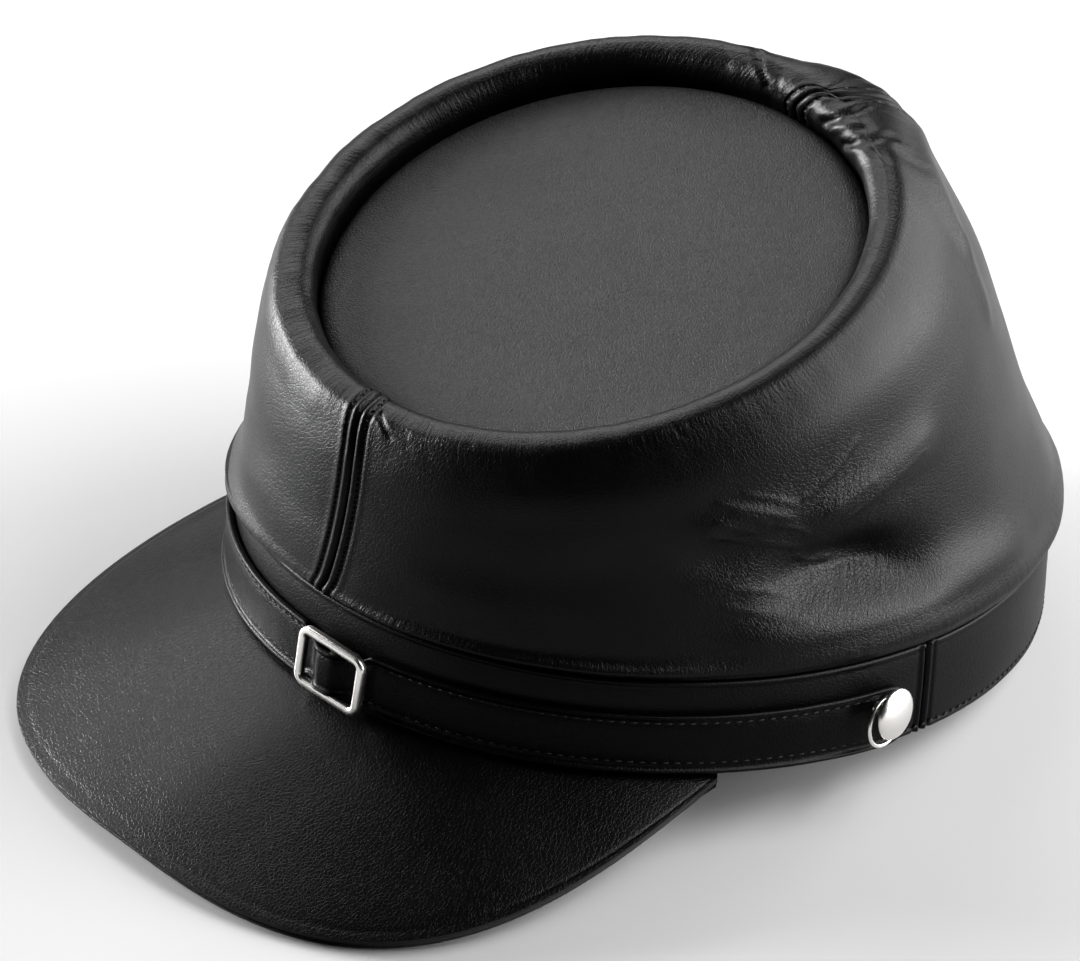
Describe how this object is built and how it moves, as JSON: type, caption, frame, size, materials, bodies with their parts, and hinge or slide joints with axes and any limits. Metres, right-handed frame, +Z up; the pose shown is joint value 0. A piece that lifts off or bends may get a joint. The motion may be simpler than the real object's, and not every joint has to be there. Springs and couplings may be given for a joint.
{
  "type": "leather kepi cap",
  "caption": "Black leather kepi-style forage cap with a round sunken top, a sloping peak, a chin strap in a slide buckle and domed side buttons.",
  "frame": {"origin": "on the resting surface, under the middle of the cap's bounding box", "axes": "+Z up from the resting surface, -Y towards the front of the peak, +X towards the wearer's left"},
  "size_m": [0.1926, 0.2494, 0.1227],
  "materials": {
    "crown_leather": "soft black leather with a fine grain, satin, puckered round the rim and creased at the dents",
    "top_leather": "matt dark grey-black leather with a fine grain",
    "band_leather": "smooth satin black leather, folded over along the top and turned under along the lower edge",
    "peak_leather": "firm satin black leather with a turned edge",
    "strap_leather": "satin black strap leather with stitched raised edges",
    "polished_nickel": "polished nickel plate, faintly warm, with light wear",
    "black_thread": "waxed black sewing thread"
  },
  "bodies": {
    "root": {"crown_side_left": "crown_leather", "crown_side_right": "crown_leather", "crown_top": "top_leather", "band_front": "band_leather", "band_back": "band_leather", "peak": "peak_leather", "peak_facing": "peak_leather", "chin_strap": "strap_leather", "buckle": "polished_nickel", "button_left": "polished_nickel", "button_right": "polished_nickel", "button_ring_left": "polished_nickel", "button_ring_right": "polished_nickel"}
  },
  "joints": []
}
